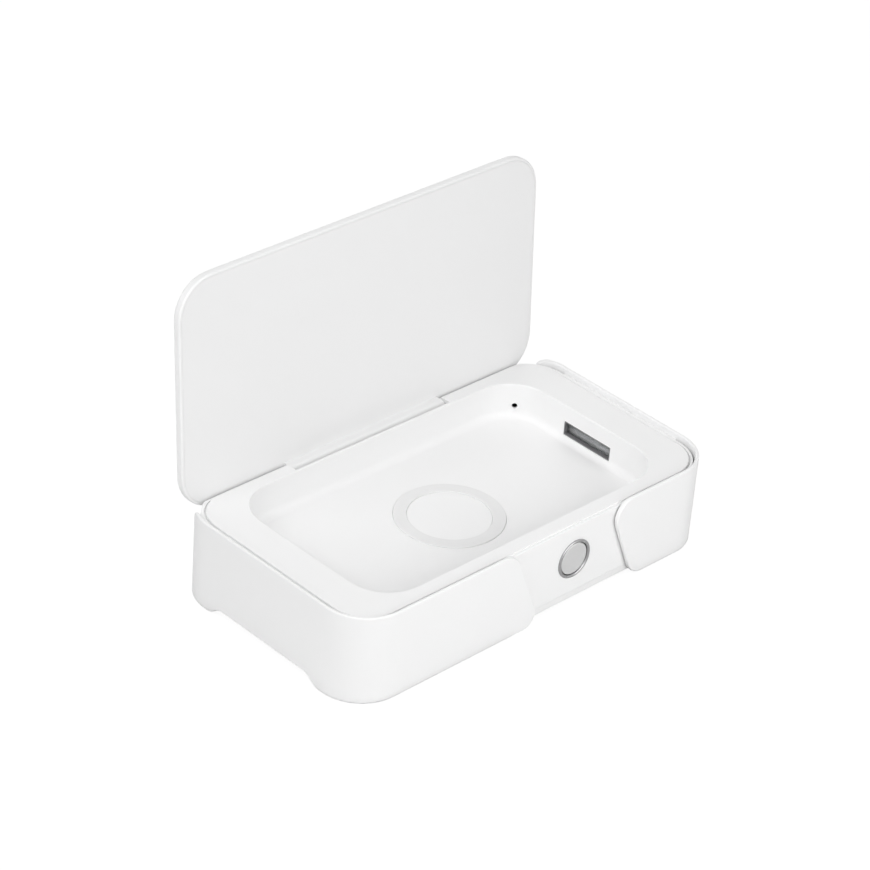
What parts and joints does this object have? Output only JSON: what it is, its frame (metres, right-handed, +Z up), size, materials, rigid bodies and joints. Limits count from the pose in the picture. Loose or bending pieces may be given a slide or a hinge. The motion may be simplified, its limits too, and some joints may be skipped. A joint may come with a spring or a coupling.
{
  "type": "uv sanitizer box for phones",
  "caption": "Hinged-lid ultraviolet sanitizer box for a phone, with a charging ring in its basin, wrap-round side bands and a round front push button.",
  "frame": {"origin": "middle of the bounding box with the lid open, at floor level", "axes": "+X right along the long front, +Y to the back where the lid is hinged, +Z up"},
  "size_m": [0.22, 0.1306, 0.149],
  "materials": {
    "white_shell": "fine satin white moulding",
    "white_cover": "satin white moulding",
    "white_band": "fine satin white moulding",
    "white_lid": "fine satin white moulding",
    "white_lid_panel": "fine satin white moulding",
    "screw_steel": "plain steel screw",
    "foot_rubber": "matt grey rubber",
    "button_chrome": "polished bright metal",
    "button_satin": "satin light grey",
    "dark_plastic": "matt dark moulding",
    "spring_steel": "spring wire",
    "bright_steel": "plated steel",
    "circuit_board": "green solder mask",
    "ring_silicone": "smooth light grey silicone",
    "coil_copper": "enamelled copper winding",
    "ferrite": "matt ferrite",
    "transformer_tape": "taped winding on a bobbin",
    "bright_aluminium": "bright aluminium",
    "connector_plastic": "natural nylon",
    "cable_grey": "flat insulated lead",
    "lamp_glass": "clear quartz glass"
  },
  "bodies": {
    "base": {"upper_body": "white_shell", "bottom_cover": "white_cover", "left_side_band": "white_band", "right_side_band": "white_band", "band_screws": "screw_steel", "cover_screws": "screw_steel", "rubber_feet": "foot_rubber", "button_ring": "button_chrome", "button_spring": "spring_steel", "push_switch": "dark_plastic", "button_board": "circuit_board", "button_board_screws": "screw_steel", "ring_pad": "ring_silicone", "charging_coil": "coil_copper", "ferrite_sheet": "ferrite", "coil_bracket": "white_cover", "coil_bracket_screws": "screw_steel", "main_board": "circuit_board", "main_board_screws": "screw_steel", "usb_c_socket": "bright_steel", "usb_c_tongue": "dark_plastic", "control_chips": "dark_plastic", "lamp_transformers": "transformer_tape", "capacitors": "bright_aluminium", "cable_connectors": "connector_plastic", "hinge_pins": "bright_steel", "base_magnets": "bright_steel", "lid_sensor": "circuit_board", "button_cable": "cable_grey", "coil_leads": "cable_grey", "left_lamp_cable": "cable_grey", "right_lamp_cable": "cable_grey", "left_lamp_frame": "dark_plastic", "left_lamp_back": "dark_plastic", "left_lamp_reflector": "bright_aluminium", "left_lamp_tube": "lamp_glass", "left_lamp_end_caps": "bright_aluminium", "left_lamp_electrodes": "bright_steel", "right_lamp_frame": "dark_plastic", "right_lamp_back": "dark_plastic", "right_lamp_reflector": "bright_aluminium", "right_lamp_tube": "lamp_glass", "right_lamp_end_caps": "bright_aluminium", "right_lamp_electrodes": "bright_steel"},
    "lid": {"lid_shell": "white_lid", "lid_inner_panel": "white_lid_panel", "lid_magnets": "bright_steel"},
    "button": {"button_cap": "button_satin", "switch_plunger": "dark_plastic"}
  },
  "joints": [
    {"name": "lid_hinge", "type": "hinge", "parent": "base", "child": "lid", "pos_m": [0, 0.0497, 0.0391], "axis": [-1, 0, 0], "range_deg": [-93.9, 0]},
    {"name": "button_press", "type": "slide", "parent": "base", "child": "button", "axis": [0, 1, 0], "range_m": [0, 0.0006], "stiffness_N_per_m": 600, "springref_m": -0.001, "deforming": ["button_spring"]}
  ]
}
